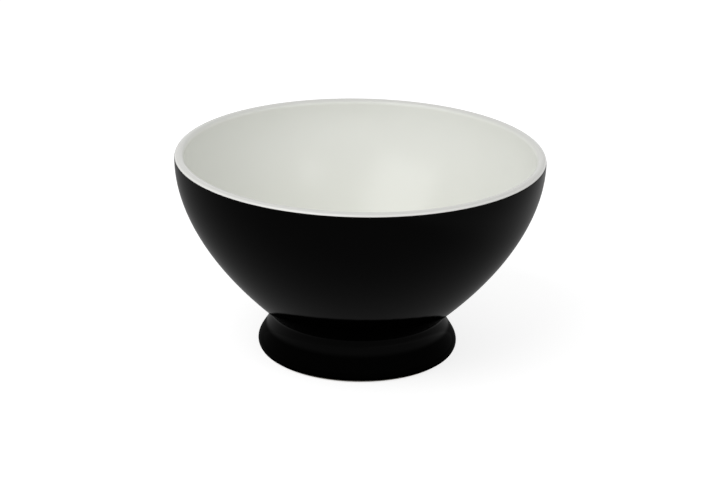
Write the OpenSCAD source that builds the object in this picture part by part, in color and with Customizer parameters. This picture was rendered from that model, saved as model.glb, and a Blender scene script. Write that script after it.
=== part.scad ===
// A footed latte bowl: a turned bowl luted to a moulded foot ring, glazed off-white inside and black outside.
// The origin is the middle of the ring that it rests on, and +Z runs up the axis that everything turns on.
// Outlines lie in the r, z half plane and are revolved. Neighbours share the very points where they meet.

/* [Bowl] */
// Outside diameter of the rim
rim_d = 140; // [120:1:170]
// Height from the table to the top of the lip
bowl_h = 79; // [70:0.5:95]
// Thickness of the side at the rim, rounded over into a half circle
rim_wall = 3.6; // [3:0.1:6]
// Thickness that the side grows towards on its way down to the foot
low_wall = 5; // [4:0.1:7]
// Thickness of the bottom at its middle
floor_wall = 5; // [4:0.1:7]
// Clear height under the middle of the bottom
well_h = 7.5; // [6:0.1:9]

/* [Side curve] */
// Pull of the side's curve straight down from the rim
rim_pull = 18; // [14:0.5:30]
// Pull of the side's curve up from the neck
neck_pull = 33; // [16:0.5:38]
// Lean of the side from upright where it meets the foot, in degrees
neck_lean = 48.5; // [40:0.5:56]

/* [Foot] */
// Diameter of the foot at its widest
foot_d = 76.5; // [70:0.5:84]
// Height of the foot's widest place above the table
bulge_h = 3.5; // [3:0.1:6]
// Depth of the neck, where bowl and foot meet, behind the foot's widest place
neck_in = 4.5; // [3.5:0.25:7]
// Height of the neck above the table
neck_h = 16; // [13:0.5:18]
// Distance that the flat ring under the foot lies in from its widest place
rest_in = 3.2; // [1.6:0.1:4]
// Width of the flat ring, with the rounding at its inner edge
ring_w = 4.9; // [4:0.1:6]
// Rounding between the flat ring and the hollow
well_round = 1.2; // [0.6:0.1:2]
// Thickness of the fired slip that joins foot and bowl
slip_t = 0.4; // [0.3:0.05:0.8]

/* [Glaze] */
// Thickness of each coat of glaze
glaze_t = 0.25; // [0.15:0.05:0.5]
// Drop of the edge between black and white below the top of the lip
border_drop = 1.15; // [0.7:0.05:1.75]
// Reach of the glaze that pools in the neck and in the corner of the hollow
pool_reach = 1.3; // [0.8:0.1:2]
// Height of bare clay above the table
bare_h = 0.9; // [0.6:0.1:1.4]

/* [Hidden] */
$fn = 180;

// Share of the way from rim to neck at which the side turns into the bottom, inside the bowl
turn_share = 0.78;
// Shares of the way to their corners that the curves of the bottom are pulled, inside and under
floor_share = 0.74;
under_share = 0.62;
// Share of the underside's curve that the foot is seated on
seat_share = 0.17;
// Shares of the foot's height that shape the cove under the neck and the shoulder below it
cove_share = 0.56;
shoulder_share = 0.28;
// Shares of the roll under the foot: down from its widest place, and out from the flat ring
roll_down_share = 0.45;
roll_out_share = 0.5;
// How late the black coat thins out on its way down the roll
fade_power = 6;

// Steps along each stretch of the outlines
side_n = 28;
lip_n = 24;
border_n = 4;
bottom_n = 20;
seat_n = 4;
foot_n = 16;
roll_n = 10;
pool_n = 6;

rim_r = rim_d/2;
lip_r = rim_wall/2;
lip_mid = [rim_r - lip_r, bowl_h - lip_r];
border_angle = asin((lip_r - border_drop)/lip_r);
foot_r = foot_d/2;
neck = [foot_r - neck_in, neck_h];
neck_way = [-sin(neck_lean), -cos(neck_lean)];

// A point on the cubic curve with the four control points p, and the curve's heading there
function cubic(p, t) =
    pow(1 - t, 3)*p[0] + 3*pow(1 - t, 2)*t*p[1] + 3*(1 - t)*t*t*p[2] + pow(t, 3)*p[3];
function heading(p, t) =
    pow(1 - t, 2)*(p[1] - p[0]) + 2*(1 - t)*t*(p[2] - p[1]) + t*t*(p[3] - p[2]);
// The same point moved out by d. All these curves run with the outside on their left
function cubic_out(p, t, d) =
    let (h = heading(p, t))
    cubic(p, t) + d*[-h[1], h[0]]/norm(h);
// Parameter values in n even steps
function steps(t0, t1, n) =
    [for (i = [0:n])
        t0 + (t1 - t0)*i/n];
function arc(mid, r, a0, a1, n) =
    [for (a = steps(a0, a1, n))
        mid + r*[cos(a), sin(a)]];
// Points that round off the corner b between a and c
function rounded(a, b, c, n) =
    [for (t = steps(0, 1, n))
        pow(1 - t, 2)*a + 2*(1 - t)*t*b + t*t*c];
// Control points of a curve that leaves a along way and runs level into b on the axis
function level_out(a, way, b, share) =
    let (corner = a + way*(b[1] - a[1])/way[1])
    [a, a + share*(corner - a), b + share*(corner - b), b];
function reversed(v) =
    [for (i = [len(v) - 1:-1:0])
        v[i]];
function last(v) = v[len(v) - 1];
// One closed outline from lists that each start where the one before ends
function outline(lists) =
    [for (v = lists)
        for (i = [1:len(v) - 1])
            v[i]];

// The finished side from rim to neck, and its thickness on the way
side = [[rim_r, lip_mid[1]], [rim_r, lip_mid[1] - rim_pull], neck - neck_pull*neck_way, neck];
function wall_at(t) = rim_wall + (low_wall - rim_wall)*t*t*(3 - 2*t);

// The finished bottom inside, and the bare clay of the underside
floor_from = cubic_out(side, turn_share, -wall_at(turn_share));
floor_curve = level_out(floor_from, heading(side, turn_share), [0, well_h + floor_wall], floor_share);
under_curve = level_out(cubic_out(side, 1, -glaze_t), neck_way, [0, well_h + glaze_t], under_share);

// The foot's bare clay: a cove and a shoulder down to its widest place, then a roll to the flat ring
foot_top = [neck[0] - glaze_t, neck_h];
bulge = [foot_r - glaze_t, bulge_h];
rest_edge = [foot_r - rest_in, 0];
drop = [0, neck_h - bulge_h];
cove = [foot_top, foot_top - cove_share*drop, bulge + shoulder_share*drop, bulge];
roll = [
    bulge,
    bulge - [0, roll_down_share*bulge_h],
    rest_edge + [roll_out_share*(bulge[0] - rest_edge[0]), 0],
    rest_edge
];

// Parameter at which the roll has come down to height h, found by halving
function roll_t(h, a = 0, b = 1, k = 24) =
    let (m = (a + b)/2)
    k == 0 ? m
    : cubic(roll, m)[1] > h ? roll_t(h, m, b, k - 1)
    : roll_t(h, a, m, k - 1);
bare_t = roll_t(bare_h);

// The slip and the seat of the foot. Their outer edge is flush with the foot's clay
under_pull = norm(under_curve[1] - under_curve[0]);
seat_inset = (slip_t*cos(neck_lean) + under_curve[0][0] - foot_top[0])/sin(neck_lean);
seat_t = steps(seat_inset/(3*under_pull), seat_share, seat_n);
slip_top = [for (t = seat_t) cubic(under_curve, t)];
slip_low = [for (t = seat_t) cubic_out(under_curve, t, slip_t)];
slip_side = [slip_top[0], slip_low[0]];
slip_inside = [last(slip_top), last(slip_low)];

// The hollow under the foot
well_r = rest_edge[0] - ring_w;
well_edge = arc([well_r + well_round, well_round], well_round, 180, 270, pool_n);
well_side = [last(slip_low), well_edge[0]];
well_down = (well_side[1] - well_side[0])/norm(well_side[1] - well_side[0]);
well_in = [well_down[1], -well_down[0]];

// Clay lines that two neighbours have in common
clay_lip = arc(lip_mid, lip_r - glaze_t, border_angle, 180, lip_n);
clay_border = arc(lip_mid, lip_r - glaze_t, border_angle, 0, border_n);
clay_side = [for (t = steps(0, 1, side_n)) cubic_out(side, t, -glaze_t)];
clay_inside = [for (t = steps(0, turn_share, side_n)) cubic_out(side, t, glaze_t - wall_at(t))];
clay_floor = [for (t = steps(0, 1, bottom_n)) cubic_out(floor_curve, t, glaze_t)];
clay_under = [for (t = steps(seat_share, 1, bottom_n)) cubic(under_curve, t)];
clay_cove = concat([slip_low[0]], [for (i = [1:foot_n]) cubic(cove, i/foot_n)]);
clay_roll = [for (t = steps(0, bare_t, roll_n)) cubic(roll, t)];
bare_roll = [for (t = steps(bare_t, 1, roll_n)) cubic(roll, t)];

module turned(lists) {
    rotate_extrude()
        polygon(outline(lists));
}
module bowl_body() {
    color([0.90, 0.87, 0.80])
        turned([
            clay_border,
            clay_side,
            [last(clay_side), slip_top[0]],
            slip_top,
            clay_under,
            [last(clay_under), last(clay_floor)],
            reversed(clay_floor),
            reversed(clay_inside),
            reversed(clay_lip)
        ]);
}
module foot_ring() {
    color([0.88, 0.84, 0.76])
        turned([
            slip_low,
            well_side,
            well_edge,
            [last(well_edge), rest_edge],
            reversed(bare_roll),
            reversed(clay_roll),
            reversed(clay_cove)
        ]);
}
module slip_joint() {
    color([0.80, 0.74, 0.64])
        turned([slip_top, slip_inside, reversed(slip_low), reversed(slip_side)]);
}
module inner_glaze() {
    wet_lip = arc(lip_mid, lip_r, border_angle, 180, lip_n);
    wet_inside = [for (t = steps(0, turn_share, side_n)) cubic_out(side, t, -wall_at(t))];
    wet_floor = [for (t = steps(0, 1, bottom_n)) cubic(floor_curve, t)];
    color([0.87, 0.87, 0.84])
        turned([
            wet_lip,
            wet_inside,
            wet_floor,
            [last(wet_floor), last(clay_floor)],
            reversed(clay_floor),
            reversed(clay_inside),
            reversed(clay_lip),
            [clay_lip[0], wet_lip[0]]
        ]);
}
module outer_glaze() {
    pool_side_t = 1 - pool_reach/(3*neck_pull);
    pool_cove_t = pool_reach/(3*cove_share*drop[1]);
    wet_border = arc(lip_mid, lip_r, border_angle, 0, border_n);
    wet_side = [for (t = steps(0, pool_side_t, side_n)) cubic(side, t)];
    wet_cove = [for (t = steps(pool_cove_t, 1, foot_n)) cubic_out(cove, t, glaze_t)];
    wet_roll = [
        for (t = steps(0, bare_t, roll_n))
            cubic_out(roll, t, glaze_t*(1 - pow(t/bare_t, fade_power)))
    ];
    color([0.03, 0.03, 0.03])
        turned([
            wet_border,
            wet_side,
            rounded(last(wet_side), neck, wet_cove[0], pool_n),
            wet_cove,
            wet_roll,
            reversed(clay_roll),
            reversed(clay_cove),
            reversed(slip_side),
            [slip_top[0], last(clay_side)],
            reversed(clay_side),
            reversed(clay_border),
            [clay_border[0], wet_border[0]]
        ]);
}
module underside_glaze() {
    pool_t = seat_share + pool_reach/(3*under_pull);
    wet_under = [for (t = steps(1, pool_t, bottom_n)) cubic_out(under_curve, t, glaze_t)];
    wet_side = [
        well_side[0] + pool_reach*well_down + glaze_t*well_in,
        well_side[1] - glaze_t*well_down + glaze_t*well_in,
        well_side[1]
    ];
    color([0.87, 0.87, 0.84])
        turned([
            [last(clay_under), wet_under[0]],
            wet_under,
            rounded(last(wet_under), well_side[0] + glaze_t*well_in, wet_side[0], pool_n),
            wet_side,
            reversed(well_side),
            reversed(slip_inside),
            clay_under
        ]);
}

bowl_body();
foot_ring();
slip_joint();
inner_glaze();
outer_glaze();
underside_glaze();
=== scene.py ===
"""A footed latte bowl, glazed black outside and off-white inside, on a pale studio floor.

The three coats of glaze are turned again here from the same outlines as the CAD solids, with many
more steps, so that their gloss is smooth. The clay and the slip are the CAD solids themselves.
"""
import math

import bmesh
import bpy
import numpy as np
from mathutils import Matrix, Vector


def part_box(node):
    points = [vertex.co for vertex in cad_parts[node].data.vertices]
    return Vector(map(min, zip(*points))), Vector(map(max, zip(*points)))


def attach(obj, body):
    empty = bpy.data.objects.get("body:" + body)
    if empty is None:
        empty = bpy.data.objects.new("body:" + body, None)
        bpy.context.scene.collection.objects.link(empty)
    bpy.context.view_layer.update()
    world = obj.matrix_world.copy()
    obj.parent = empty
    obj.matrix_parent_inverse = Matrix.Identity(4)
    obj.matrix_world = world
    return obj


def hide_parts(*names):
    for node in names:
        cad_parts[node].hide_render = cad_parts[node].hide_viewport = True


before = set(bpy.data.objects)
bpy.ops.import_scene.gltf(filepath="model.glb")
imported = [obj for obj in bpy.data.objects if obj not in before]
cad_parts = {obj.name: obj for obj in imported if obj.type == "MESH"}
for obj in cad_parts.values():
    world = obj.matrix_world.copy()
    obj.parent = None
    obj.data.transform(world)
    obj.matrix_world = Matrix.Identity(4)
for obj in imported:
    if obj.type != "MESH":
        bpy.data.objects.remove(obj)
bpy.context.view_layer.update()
MM = 0.001

# Sizes of the part, in mm. The first two come from the frame
RIM_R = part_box("outer_glaze")[1].x/MM
BOWL_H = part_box("inner_glaze")[1].z/MM
NECK_H = 16.0
FOOT_R = 38.25
BULGE_H = 3.5               # the foot's widest place, above the table
NECK_IN = 4.5               # the neck, in from the foot's widest place
REST_IN = 3.2               # the resting ring's outer edge, in from the same
RING_W = 4.9
BARE_H = 0.9                # bare clay under the black coat's lower edge
WELL_H = 7.5                # the hollow under the bowl
WELL_ROUND = 1.2

# Walls and coats, in mm
RIM_WALL = 3.6
LOW_WALL = 5.0
FLOOR_WALL = 5.0
SLIP_T = 0.4
GLAZE_T = 0.25
BORDER_DROP = 1.15          # the border of the two colours, under the brim
POOL_REACH = 1.3            # how far pooled glaze reaches out of a corner

# How far the side's curve keeps its heading at each end, in mm, and its lean from upright at the
# neck
RIM_PULL = 18.0
NECK_PULL = 33.0
NECK_LEAN = math.radians(48.5)

# Shares of a curve or of a height that shape the rest
TURN_SHARE = 0.78           # of the side's curve, where the inside turns into the bottom
FLOOR_SHARE = 0.74
UNDER_SHARE = 0.62
SEAT_SHARE = 0.17           # of the underside's curve, which the foot's seat takes up
COVE_SHARE = 0.56
SHOULDER_SHARE = 0.28
ROLL_DOWN_SHARE = 0.45
ROLL_OUT_SHARE = 0.5
FADE_POWER = 6              # how late the black coat thins out on the foot's roll
END_SPEED = 3               # a cubic's speed at its end, as a multiple of its pull there

# Steps round the axis, and along the stretches that show and the ones that lie on the clay
TURN_STEPS = 288
LONG_STEPS = 96
SHORT_STEPS = 36
SMALL_STEPS = SHORT_STEPS//4
CLAY_LONG_STEPS = 40
CLAY_SHORT_STEPS = CLAY_LONG_STEPS//2
CLAY_SMALL_STEPS = CLAY_LONG_STEPS//4
SEARCH_STEPS = 4000

# A point nearer to the axis than this, in metres, lies on it. An edge sharper than the angle stays
# hard
ON_AXIS = 1e-7
HARD_ANGLE = math.radians(35)


# ---- outlines in the r, z half plane, in mm

def vec(r, z):
    return np.array([r, z], float)


def cubic(p, t):
    t = np.asarray(t, float)[..., None]
    return (1 - t)**3*p[0] + 3*(1 - t)**2*t*p[1] + 3*(1 - t)*t*t*p[2] + t**3*p[3]


def heading(p, t):
    t = np.asarray(t, float)[..., None]
    return (1 - t)**2*(p[1] - p[0]) + 2*(1 - t)*t*(p[2] - p[1]) + t*t*(p[3] - p[2])


def cubic_out(p, t, d):
    """The curve p moved out by d, to its left."""
    h = heading(p, t)
    h = h/np.linalg.norm(h, axis=-1, keepdims=True)
    left = np.stack([-h[..., 1], h[..., 0]], -1)
    return cubic(p, t) + np.asarray(d, float)[..., None]*left


def along(curve, t0, t1, n, out):
    """Points along a cubic from t0 to t1, moved out by a distance or by a function of t."""
    t = np.linspace(t0, t1, n + 1)
    return cubic_out(curve, t, out(t) if callable(out) else np.full(n + 1, out))


def arc(mid, r, a0, a1, n):
    a = np.linspace(a0, a1, n + 1)
    return mid + r*np.stack([np.cos(a), np.sin(a)], -1)


def rounded(a, b, c, n):
    """A round from a to c that is drawn towards the corner b."""
    t = np.linspace(0, 1, n + 1)[:, None]
    return (1 - t)**2*a + 2*(1 - t)*t*b + t*t*c


def line(a, b, n=1):
    t = np.linspace(0, 1, n + 1)[:, None]
    return (1 - t)*a + t*b


def level_out(a, way, b, share):
    """The cubic that leaves a along way and comes in level at b, on the axis."""
    corner = a + way*(b[1] - a[1])/way[1]
    return [a, a + share*(corner - a), b + share*(corner - b), b]


def outline(*lists):
    """One closed outline from lists that each start where the one before ends."""
    return np.vstack([v[1:] for v in lists])


def wall_at(t):
    """The bowl's wall along its side, from the rim to the neck."""
    t = np.asarray(t, float)
    return RIM_WALL + (LOW_WALL - RIM_WALL)*t*t*(3 - 2*t)


lip_r = RIM_WALL/2
lip_mid = vec(RIM_R - lip_r, BOWL_H - lip_r)
border = math.asin((lip_r - BORDER_DROP)/lip_r)
neck = vec(FOOT_R - NECK_IN, NECK_H)
neck_way = vec(-math.sin(NECK_LEAN), -math.cos(NECK_LEAN))
side = [
    vec(RIM_R, lip_mid[1]),
    vec(RIM_R, lip_mid[1] - RIM_PULL),
    neck - NECK_PULL*neck_way,
    neck,
]
floor_from = cubic_out(side, TURN_SHARE, -wall_at(TURN_SHARE))
floor_to = vec(0, WELL_H + FLOOR_WALL)
floor_curve = level_out(floor_from, heading(side, TURN_SHARE), floor_to, FLOOR_SHARE)
under_from = cubic_out(side, 1.0, -GLAZE_T)
under_curve = level_out(under_from, neck_way, vec(0, WELL_H + GLAZE_T), UNDER_SHARE)
under_pull = np.linalg.norm(under_curve[1] - under_curve[0])

foot_top = vec(neck[0] - GLAZE_T, NECK_H)
bulge = vec(FOOT_R - GLAZE_T, BULGE_H)
rest_edge = vec(FOOT_R - REST_IN, 0)
drop = vec(0, NECK_H - BULGE_H)
cove = [foot_top, foot_top - COVE_SHARE*drop, bulge + SHOULDER_SHARE*drop, bulge]
roll = [
    bulge,
    bulge - vec(0, ROLL_DOWN_SHARE*BULGE_H),
    rest_edge + vec(ROLL_OUT_SHARE*(bulge[0] - rest_edge[0]), 0),
    rest_edge,
]
search = np.linspace(0, 1, SEARCH_STEPS + 1)
bare_t = float(np.interp(-BARE_H, -cubic(roll, search)[:, 1], search))

seat_inset = (SLIP_T*math.cos(NECK_LEAN) + under_curve[0][0] - foot_top[0])/math.sin(NECK_LEAN)
seat_t = np.linspace(seat_inset/(END_SPEED*under_pull), SEAT_SHARE, CLAY_SMALL_STEPS + 1)
slip_top = cubic(under_curve, seat_t)
slip_low = cubic_out(under_curve, seat_t, np.full(len(seat_t), SLIP_T))
well_edge = vec(rest_edge[0] - RING_W, WELL_ROUND)
well_down = (well_edge - slip_low[-1])/np.linalg.norm(well_edge - slip_low[-1])
well_in = vec(well_down[1], -well_down[0])


def inner_outline():
    """The off-white coat: round the lip, down the inside, over the bottom, back along the clay."""
    wet = [
        arc(lip_mid, lip_r, border, math.pi, SHORT_STEPS),
        along(side, 0, TURN_SHARE, LONG_STEPS, lambda t: -wall_at(t)),
        along(floor_curve, 0, 1, SHORT_STEPS, 0),
    ]
    clay_side = [
        along(floor_curve, 1, 0, CLAY_LONG_STEPS, GLAZE_T),
        along(side, TURN_SHARE, 0, CLAY_LONG_STEPS, lambda t: GLAZE_T - wall_at(t)),
        arc(lip_mid, lip_r - GLAZE_T, math.pi, border, CLAY_SHORT_STEPS),
    ]
    return outline(
        *wet,
        line(wet[-1][-1], clay_side[0][0]),
        *clay_side,
        line(clay_side[-1][-1], wet[0][0]),
    )


def outer_outline():
    """The black coat: from its border down the side, pooled at the neck, and over the foot."""
    side_t = 1 - POOL_REACH/(END_SPEED*NECK_PULL)
    cove_t = POOL_REACH/(END_SPEED*COVE_SHARE*drop[1])
    wet_side = along(side, 0, side_t, LONG_STEPS, 0)
    wet_cove = along(cove, cove_t, 1, SHORT_STEPS, GLAZE_T)
    wet = [
        arc(lip_mid, lip_r, border, 0, SMALL_STEPS),
        wet_side,
        rounded(wet_side[-1], neck, wet_cove[0], SMALL_STEPS),
        wet_cove,
        along(roll, 0, bare_t, SHORT_STEPS, lambda t: GLAZE_T*(1 - (t/bare_t)**FADE_POWER)),
    ]
    bowl_clay = along(side, 1, 0, CLAY_LONG_STEPS, -GLAZE_T)
    cove_clay = along(cove, 1, 0, CLAY_SHORT_STEPS, 0)[:-1]
    clay_side = [
        along(roll, bare_t, 0, CLAY_SHORT_STEPS, 0),
        cove_clay,
        line(cove_clay[-1], slip_low[0]),
        line(slip_low[0], slip_top[0]),
        line(slip_top[0], bowl_clay[0]),
        bowl_clay,
        arc(lip_mid, lip_r - GLAZE_T, 0, border, CLAY_SMALL_STEPS),
    ]
    return outline(*wet, *clay_side, line(clay_side[-1][-1], wet[0][0]))


def underside_outline():
    """The off-white coat in the hollow under the bowl, pooled in the corner."""
    pool_t = SEAT_SHARE + POOL_REACH/(END_SPEED*under_pull)
    top = along(under_curve, 1, pool_t, SHORT_STEPS, GLAZE_T)
    side_from = slip_low[-1] + POOL_REACH*well_down + GLAZE_T*well_in
    side_to = well_edge - GLAZE_T*well_down + GLAZE_T*well_in
    return outline(
        line(cubic(under_curve, 1.0), top[0]),
        top,
        rounded(top[-1], slip_low[-1] + GLAZE_T*well_in, side_from, SMALL_STEPS),
        line(side_from, side_to, SMALL_STEPS),
        line(side_to, well_edge),
        line(well_edge, slip_low[-1], SMALL_STEPS),
        line(slip_low[-1], slip_top[-1]),
        along(under_curve, SEAT_SHARE, 1, CLAY_LONG_STEPS, 0),
    )


def placed(name, data):
    """A new object with this data, in the scene."""
    piece = bpy.data.objects.new(name, data)
    bpy.context.scene.collection.objects.link(piece)
    return piece


def turned(name, points):
    """A closed mesh from an outline turned about Z. A point on the axis becomes one vertex."""
    mesh = bpy.data.meshes.new(name)
    bm = bmesh.new()
    rings = []
    angles = np.linspace(0, 2*math.pi, TURN_STEPS, endpoint=False)
    for r, z in points*MM:
        if r < ON_AXIS:
            rings.append([bm.verts.new((0, 0, z))])
        else:
            rings.append([bm.verts.new((r*math.cos(a), r*math.sin(a), z)) for a in angles])
    for one, two in zip(rings, rings[1:] + rings[:1]):
        if len(one) == len(two) == 1:
            continue
        for i in range(TURN_STEPS):
            j = (i + 1) % TURN_STEPS
            corners = [one[i % len(one)], one[j % len(one)], two[j % len(two)], two[i % len(two)]]
            bm.faces.new(list(dict.fromkeys(corners)))
    bmesh.ops.recalc_face_normals(bm, faces=bm.faces)
    bm.to_mesh(mesh)
    bm.free()
    for face in mesh.polygons:
        face.use_smooth = True
    mesh.set_sharp_from_angle(angle=HARD_ANGLE)
    return placed(name, mesh)


# ---- materials

# Colours, linear. A pair holds the two ends of a slow cloudiness
BLACKS = (0.0003, 0.0003, 0.0003, 1), (0.0006, 0.0006, 0.0005, 1)
THIN_BLACK = (0.012, 0.008, 0.005, 1)
LOW_WHITES = (0.812, 0.820, 0.765, 1), (0.827, 0.835, 0.785, 1)
# The higher whites are lighter as painted light on the upper inside wall
HIGH_LIT_WHITES = (0.867, 0.876, 0.832, 1), (0.882, 0.891, 0.852, 1)
# Thin glaze over the lip, darkened further as painted shade on its top
THIN_SHADED_WHITE = (0.720, 0.720, 0.692, 1)
# Painted highlight along the rim's outer edge
HIGHLIGHT_WHITE = (0.900, 0.900, 0.870, 1)
CLAYS = (0.74, 0.70, 0.62, 1), (0.80, 0.765, 0.69, 1)
SPECK = (0.36, 0.29, 0.22, 1)
RUBBED_CLAY = (0.46, 0.43, 0.38, 1)
SLIPS = (0.66, 0.60, 0.50, 1), (0.74, 0.68, 0.58, 1)
PAPER = (0.48, 0.48, 0.48, 1)
WHITE_LIGHT = (1, 1, 1, 1)
DARK = (0, 0, 0, 1)

# Where the coats thin out or gather, as heights and distances in mm
BLACK_THIN_TOP = 0.5        # under the border on the lip
BLACK_THIN_LOW = 0.9        # over the lower edge
WHITE_THIN_SHADE_DROPS = 1.5, 0.2  # under the brim, from full to thin glaze with painted shade
HIGHLIGHT_INS = 0.75, 0.35       # in from the rim's edge, from none to the painted highlight
RUBBED_H = 0.25             # on the clay, up from the table
# Heights as shares of the neck's and the bowl's, between which the gloss and the whiteness grow.
# The weak gloss below is painted shade on the foot, and the whiteness above is painted light
GLOSS_SHARES = 0.58, 0.7
LIT_WHITE_SHARES = 0.45, 0.95

# The black coat's gloss low on the foot and above it, and the white coat's roughness. The low
# gloss is painted shade that darkens what the foot mirrors. The white's stays under 0.27, because
# the denoiser leaves patches where a roughness crosses that
GLOSS_LOW, GLOSS_HIGH = 0.07, 0.32
WHITE_ROUGHNESS = 0.215, 0.26

# What gloss sees of the floor: a painted shadow close round the foot and clear further out, at
# these distances from it in mm, and painted light growing brighter between these places on X, in
# metres
CONTACT_OUTS = 1.0, 2.3
GLARE_PLACES = 0.09, 0.17
GLARE_LEVELS = 0.40, 0.80
FLOOR_LIFT = 0.76           # light that the floor gives off to the camera, over what falls on it

# Stretches of the noises, and what they change between
CLOUD_RANGE = 0.3, 0.7
GRAIN_RANGE = 0.2, 0.8
SPECK_RANGE = 0.70, 0.76
RUB_RANGE = 0.4, 0.65
RUB_SHARES = 0.05, 0.45
SPECK_SHARE = 0.35
THIN_BLACK_SHARE = 0.6
CLAY_ROUGHNESS = 0.78, 0.92
SLIP_ROUGHNESS = 0.8, 0.92

# Sockets of the Mix node for colours
MIX_SHARE, MIX_A, MIX_B, MIX_RESULT = 0, 6, 7, 2


class Nodes:
    """The node tree of a material or of the world, with short calls for the nodes used here."""

    def __init__(self, owner, output="ShaderNodeOutputMaterial"):
        self.owner = owner
        owner.use_nodes = True
        self.tree = owner.node_tree
        self.tree.nodes.clear()
        self.output = self.tree.nodes.new(output)

    def add(self, kind, inputs=None, **settings):
        node = self.tree.nodes.new(kind)
        for key, value in settings.items():
            setattr(node, key, value)
        for key, value in (inputs or {}).items():
            self.put(node.inputs[key], value)
        return node

    def put(self, socket, value):
        if isinstance(value, bpy.types.NodeSocket):
            self.tree.links.new(value, socket)
        else:
            socket.default_value = value

    def place(self):
        return self.add("ShaderNodeTexCoord").outputs["Object"]

    def axis(self, place, letter):
        return self.add("ShaderNodeSeparateXYZ", {"Vector": place}).outputs[letter]

    def radius(self, place):
        flat = self.add("ShaderNodeMapping", {"Vector": place, "Scale": (1, 1, 0)}).outputs[0]
        node = self.add("ShaderNodeVectorMath", operation="LENGTH")
        self.put(node.inputs[0], flat)
        return node.outputs["Value"]

    def noise(self, place, size_mm, detail=2.0, rough=0.5):
        node = self.add("ShaderNodeTexNoise", {
            "Vector": place, "Scale": 1/(size_mm*MM), "Detail": detail, "Roughness": rough})
        return node.outputs["Fac"]

    def math(self, operation, a, b):
        node = self.add("ShaderNodeMath", operation=operation)
        self.put(node.inputs[0], a)
        self.put(node.inputs[1], b)
        return node.outputs[0]

    def span(self, value, from0, from1, to0, to1, interpolation="LINEAR"):
        node = self.add("ShaderNodeMapRange", {
            "Value": value, "From Min": from0, "From Max": from1, "To Min": to0, "To Max": to1})
        node.interpolation_type = interpolation
        return node.outputs["Result"]

    def ease(self, value, from0, from1, to0=0, to1=1):
        """Eased from to0, where the value is from0, to to1, where it is from1."""
        return self.span(value, from0, from1, to0, to1, "SMOOTHSTEP")

    def mix(self, share, a, b):
        node = self.add("ShaderNodeMix", data_type="RGBA")
        self.put(node.inputs[MIX_SHARE], share)
        self.put(node.inputs[MIX_A], a)
        self.put(node.inputs[MIX_B], b)
        return node.outputs[MIX_RESULT]

    def bump(self, height, strength, distance_mm, normal=None):
        node = self.add("ShaderNodeBump", {
            "Height": height, "Strength": strength, "Distance": distance_mm*MM})
        if normal is not None:
            self.put(node.inputs["Normal"], normal)
        return node.outputs["Normal"]

    def finish(self, shader):
        self.put(self.output.inputs["Surface"], shader.outputs[0])
        return self.owner

    def surface(self, **inputs):
        names = {key.replace("_", " "): value for key, value in inputs.items()}
        return self.finish(self.add("ShaderNodeBsdfPrincipled", names))


def glaze_relief(n, peel, pits):
    """The slight waviness of a fired glaze, with fine pits in it."""
    wavy = n.bump(peel, strength=0.05, distance_mm=0.25)
    return n.bump(pits, strength=0.04, distance_mm=0.03, normal=wavy)


def black_glaze():
    """Deep black gloss that breaks to dark brown where it thins out, on the lip and on the foot.
    Its gloss is cut low on the foot as painted shade.
    """
    n = Nodes(bpy.data.materials.new("black_glaze"))
    place = n.place()
    z = n.axis(place, "Z")
    cloud = n.noise(place, size_mm=22, detail=3)
    peel = n.noise(place, size_mm=3.4, detail=2, rough=0.45)
    pits = n.noise(place, size_mm=0.55, detail=1)
    body = n.mix(cloud, *BLACKS)
    top = BOWL_H - BORDER_DROP
    thin_top = n.ease(z, (top - BLACK_THIN_TOP)*MM, top*MM)
    thin_low = n.ease(z, (BARE_H + BLACK_THIN_LOW)*MM, BARE_H*MM)
    thin = n.math("MULTIPLY", n.math("MAXIMUM", thin_top, thin_low), THIN_BLACK_SHARE)
    relief = glaze_relief(n, peel, pits)
    gloss_from, gloss_to = (share*NECK_H*MM for share in GLOSS_SHARES)
    return n.surface(
        Base_Color=n.mix(thin, body, THIN_BLACK),
        Roughness=0.5,
        Normal=relief,
        Specular_IOR_Level=0,
        # Gloss cut low on the foot: painted shade that darkens what the lower foot mirrors
        Coat_Weight=n.ease(z, gloss_from, gloss_to, GLOSS_LOW, GLOSS_HIGH),
        Coat_IOR=1.2,
        Coat_Roughness=0.06,
        Coat_Normal=relief,
    )


def white_glaze():
    """Glossy off-white, a bit cloudy, lighter high up as painted light, thinner over the lip and
    darkened there as painted shade, with a painted highlight along its outer edge.
    """
    n = Nodes(bpy.data.materials.new("white_glaze"))
    place = n.place()
    z = n.axis(place, "Z")
    cloud = n.noise(place, size_mm=26, detail=3)
    peel = n.noise(place, size_mm=4.2, detail=2, rough=0.45)
    pits = n.noise(place, size_mm=0.6, detail=1)
    lit_from, lit_to = (share*BOWL_H*MM for share in LIT_WHITE_SHARES)
    low, high = n.mix(cloud, *LOW_WHITES), n.mix(cloud, *HIGH_LIT_WHITES)
    # Lighter high up: painted light on the upper inside wall
    body = n.mix(n.ease(z, lit_from, lit_to), low, high)
    thin_from, thin_to = ((BOWL_H - drop_mm)*MM for drop_mm in WHITE_THIN_SHADE_DROPS)
    # Thinner glaze over the lip, darkened further as painted shade
    colour = n.mix(n.ease(z, thin_from, thin_to), body, THIN_SHADED_WHITE)
    # A painted highlight along the rim's outer edge, lighter than the glaze
    highlight_from, highlight_to = ((RIM_R - in_mm)*MM for in_mm in HIGHLIGHT_INS)
    rim_highlight = n.ease(n.radius(place), highlight_from, highlight_to)
    return n.surface(
        Base_Color=n.mix(rim_highlight, colour, HIGHLIGHT_WHITE),
        Roughness=n.span(cloud, *CLOUD_RANGE, *WHITE_ROUGHNESS),
        Normal=glaze_relief(n, peel, pits),
        Specular_IOR_Level=0.36,
        IOR=1.5,
    )


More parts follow.
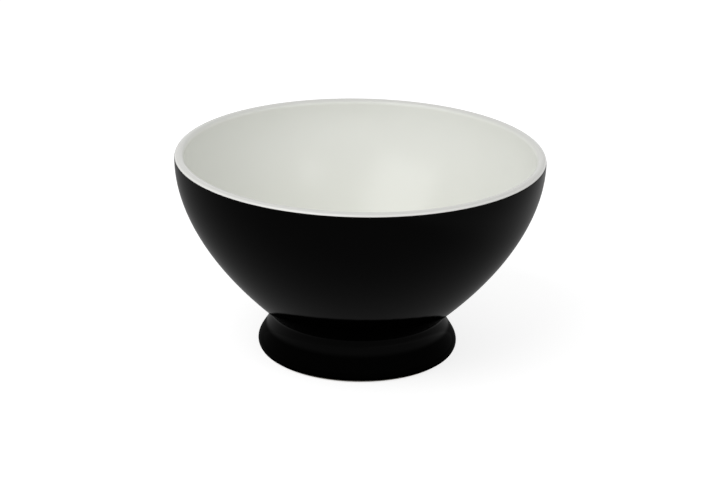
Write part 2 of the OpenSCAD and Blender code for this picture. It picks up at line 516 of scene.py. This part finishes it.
def bare_clay():
    """Fine matt biscuit, a little greyer on the flat ring where it has rubbed on tables."""
    n = Nodes(bpy.data.materials.new("clay"))
    place = n.place()
    z = n.axis(place, "Z")
    cloud = n.noise(place, size_mm=9, detail=4)
    grain = n.noise(place, size_mm=0.45, detail=3, rough=0.6)
    speck = n.ease(n.noise(place, size_mm=0.8, detail=1), *SPECK_RANGE)
    body = n.mix(cloud, *CLAYS)
    body = n.mix(n.math("MULTIPLY", speck, SPECK_SHARE), body, SPECK)
    rubbed = n.ease(z, RUBBED_H*MM, 0)
    uneven = n.span(n.noise(place, size_mm=3, detail=4), *RUB_RANGE, *RUB_SHARES)
    return n.surface(
        Base_Color=n.mix(n.math("MULTIPLY", rubbed, uneven), body, RUBBED_CLAY),
        Roughness=n.span(grain, *GRAIN_RANGE, *CLAY_ROUGHNESS),
        Normal=n.bump(grain, strength=0.35, distance_mm=0.08),
        Specular_IOR_Level=0.35,
    )


def fired_slip():
    """The joint's slip, a shade darker than the clay and grainy."""
    n = Nodes(bpy.data.materials.new("slip"))
    place = n.place()
    cloud = n.noise(place, size_mm=5, detail=4)
    grain = n.noise(place, size_mm=0.5, detail=2, rough=0.6)
    return n.surface(
        Base_Color=n.mix(cloud, *SLIPS),
        Roughness=n.span(grain, *GRAIN_RANGE, *SLIP_ROUGHNESS),
        Normal=n.bump(grain, strength=0.4, distance_mm=0.1),
        Specular_IOR_Level=0.35,
    )


def seen_share(n):
    """1 for what is seen, straight or in gloss or glass, and 0 for light that falls on things."""
    path = n.add("ShaderNodeLightPath")
    share = n.math("MAXIMUM", path.outputs["Is Camera Ray"], path.outputs["Is Glossy Ray"])
    return n.math("MAXIMUM", share, path.outputs["Is Transmission Ray"])


def pale_floor():
    """White paper with a soft shadow. Gloss sees a painted shadow round the foot, and painted light
    that grows brighter to the right.
    """
    n = Nodes(bpy.data.materials.new("pale_floor"))
    place = n.place()
    glossy = n.add("ShaderNodeLightPath").outputs["Is Glossy Ray"]
    dark_to, clear_from = ((FOOT_R + out_mm)*MM for out_mm in CONTACT_OUTS)
    # A painted shadow round the foot, for gloss alone
    near = n.ease(n.radius(place), dark_to, clear_from, 1, 0)
    # Painted light, brighter to the right, for gloss alone
    glare = n.ease(n.axis(place, "X"), *GLARE_PLACES, *GLARE_LEVELS)
    shade = n.math("MULTIPLY", glossy, near)
    paper = n.add("ShaderNodeBsdfDiffuse", {"Color": n.mix(shade, PAPER, DARK)})
    level = n.span(glossy, 0, 1, FLOOR_LIFT, n.span(near, 0, 1, glare, 0))
    level = n.math("MULTIPLY", seen_share(n), level)
    lift = n.add("ShaderNodeEmission", {"Color": WHITE_LIGHT, "Strength": level})
    both = n.add("ShaderNodeAddShader")
    n.put(both.inputs[0], paper.outputs[0])
    n.put(both.inputs[1], lift.outputs[0])
    return n.finish(both)


# ---- the bowl

black = black_glaze()
white = white_glaze()
clay = bare_clay()
slip = fired_slip()
coats = (
    ("inner_coat", inner_outline, "inner_glaze", white, "white_glaze"),
    ("outer_coat", outer_outline, "outer_glaze", black, "black_glaze"),
    ("underside_coat", underside_outline, "underside_glaze", white, "white_glaze"),
)
dressed = {}
for name, make, node, material, slot in coats:
    piece = dressed[name] = turned(name, make())
    piece.data.materials.append(material)
    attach(piece, "root")
    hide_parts(node)
for node, material in (("bowl_body", clay), ("foot_ring", clay), ("slip_joint", slip)):
    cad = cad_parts[node]
    cad.data.materials.clear()
    cad.data.materials.append(material)


# ---- floor and light

FLOOR_REACH = 4.0           # metres
FLOOR_STEPS = 96
AIR_FALLS, AIR_SHOWS = 0.51, 1.0

# Soft lamps round the bowl: turn and lift in degrees, width and depth in metres, and watts
LAMPS = (
    ("softbox_left", -42, 52, 1.1, 0.9, 7.7),
    ("softbox_right", 43, 41, 0.3, 0.3, 0.7),
    ("softbox_front", 12, 16, 1.2, 0.7, 0.75),
)
LAMP_DISTANCE = 1.45
LAMP_TARGET = Vector((0, 0, 0.06))


def floor_piece():
    mesh = bpy.data.meshes.new("floor")
    bm = bmesh.new()
    bmesh.ops.create_circle(bm, cap_ends=True, segments=FLOOR_STEPS, radius=FLOOR_REACH)
    bm.to_mesh(mesh)
    bm.free()
    mesh.materials.append(pale_floor())
    piece = placed("floor", mesh)


def studio_air(falls, shows):
    """Even white air, with one level where its light falls on things and one where it shows."""
    n = Nodes(bpy.data.worlds.new("studio"), "ShaderNodeOutputWorld")
    level = n.span(seen_share(n), 0, 1, falls, shows)
    air = n.add("ShaderNodeBackground", {"Color": WHITE_LIGHT, "Strength": level})
    bpy.context.scene.world = n.finish(air)


def round_about(turn, lift, distance):
    """A place that far from the bowl, turned from the camera's side and lifted, both in degrees."""
    a, e = math.radians(turn), math.radians(lift)
    x, y = distance*math.sin(a)*math.cos(e), -distance*math.cos(a)*math.cos(e)
    return Vector((x, y, distance*math.sin(e)))


def softbox(name, place, width, depth, watts):
    """A soft lamp, flagged off the black coat, which mirrors the white air and the floor alone."""
    lamp = bpy.data.lights.new(name, "AREA")
    lamp.shape = "RECTANGLE"
    lamp.size, lamp.size_y = width, depth
    lamp.energy = watts
    piece = placed(name, lamp)
    piece.location = place
    piece.rotation_euler = (LAMP_TARGET - place).to_track_quat("-Z", "Y").to_euler()
    piece.light_linking.receiver_collection = flagged


floor_piece()
studio_air(AIR_FALLS, AIR_SHOWS)
flagged = bpy.data.collections.new("flagged")
flagged.objects.link(dressed["outer_coat"])
flagged.collection_objects[0].light_linking.link_state = "EXCLUDE"
for name, turn, lift, width, depth, watts in LAMPS:
    softbox(name, round_about(turn, lift, LAMP_DISTANCE), width, depth, watts)


# ---- camera, from a fit of the bowl's outline in the photograph

IMAGE_W, IMAGE_H = 717, 480
CAM_DISTANCE = 0.895
CAM_LIFT = math.radians(20.28)
CAM_ROLL = math.radians(1.03)
CAM_FOCAL_PX = 2346.0
CAM_MID_PX = (359.0, 236.15)
CAM_TARGET = Vector((0, 0, 0.045))
CAM_CLIP = (0.05, 30)
SENSOR_MM = 36.0


def photo_camera():
    camera = bpy.data.cameras.new("camera")
    camera.sensor_fit = "HORIZONTAL"
    camera.sensor_width = SENSOR_MM
    camera.lens = CAM_FOCAL_PX/IMAGE_W*SENSOR_MM
    camera.shift_x = (IMAGE_W/2 - CAM_MID_PX[0])/IMAGE_W
    camera.shift_y = (CAM_MID_PX[1] - IMAGE_H/2)/IMAGE_W
    camera.clip_start, camera.clip_end = CAM_CLIP
    piece = placed("camera", camera)
    back = Vector((0, -math.cos(CAM_LIFT), math.sin(CAM_LIFT)))
    level = (-back).to_track_quat("-Z", "Y").to_matrix()
    turn = Matrix.Rotation(CAM_ROLL, 3, "Z")
    place = CAM_TARGET + CAM_DISTANCE*back
    piece.matrix_world = Matrix.LocRotScale(place, (level @ turn).to_quaternion(), None)
    bpy.context.scene.camera = piece


photo_camera()
bpy.context.scene.view_settings.view_transform = "Standard"

bpy.context.view_layer.update()
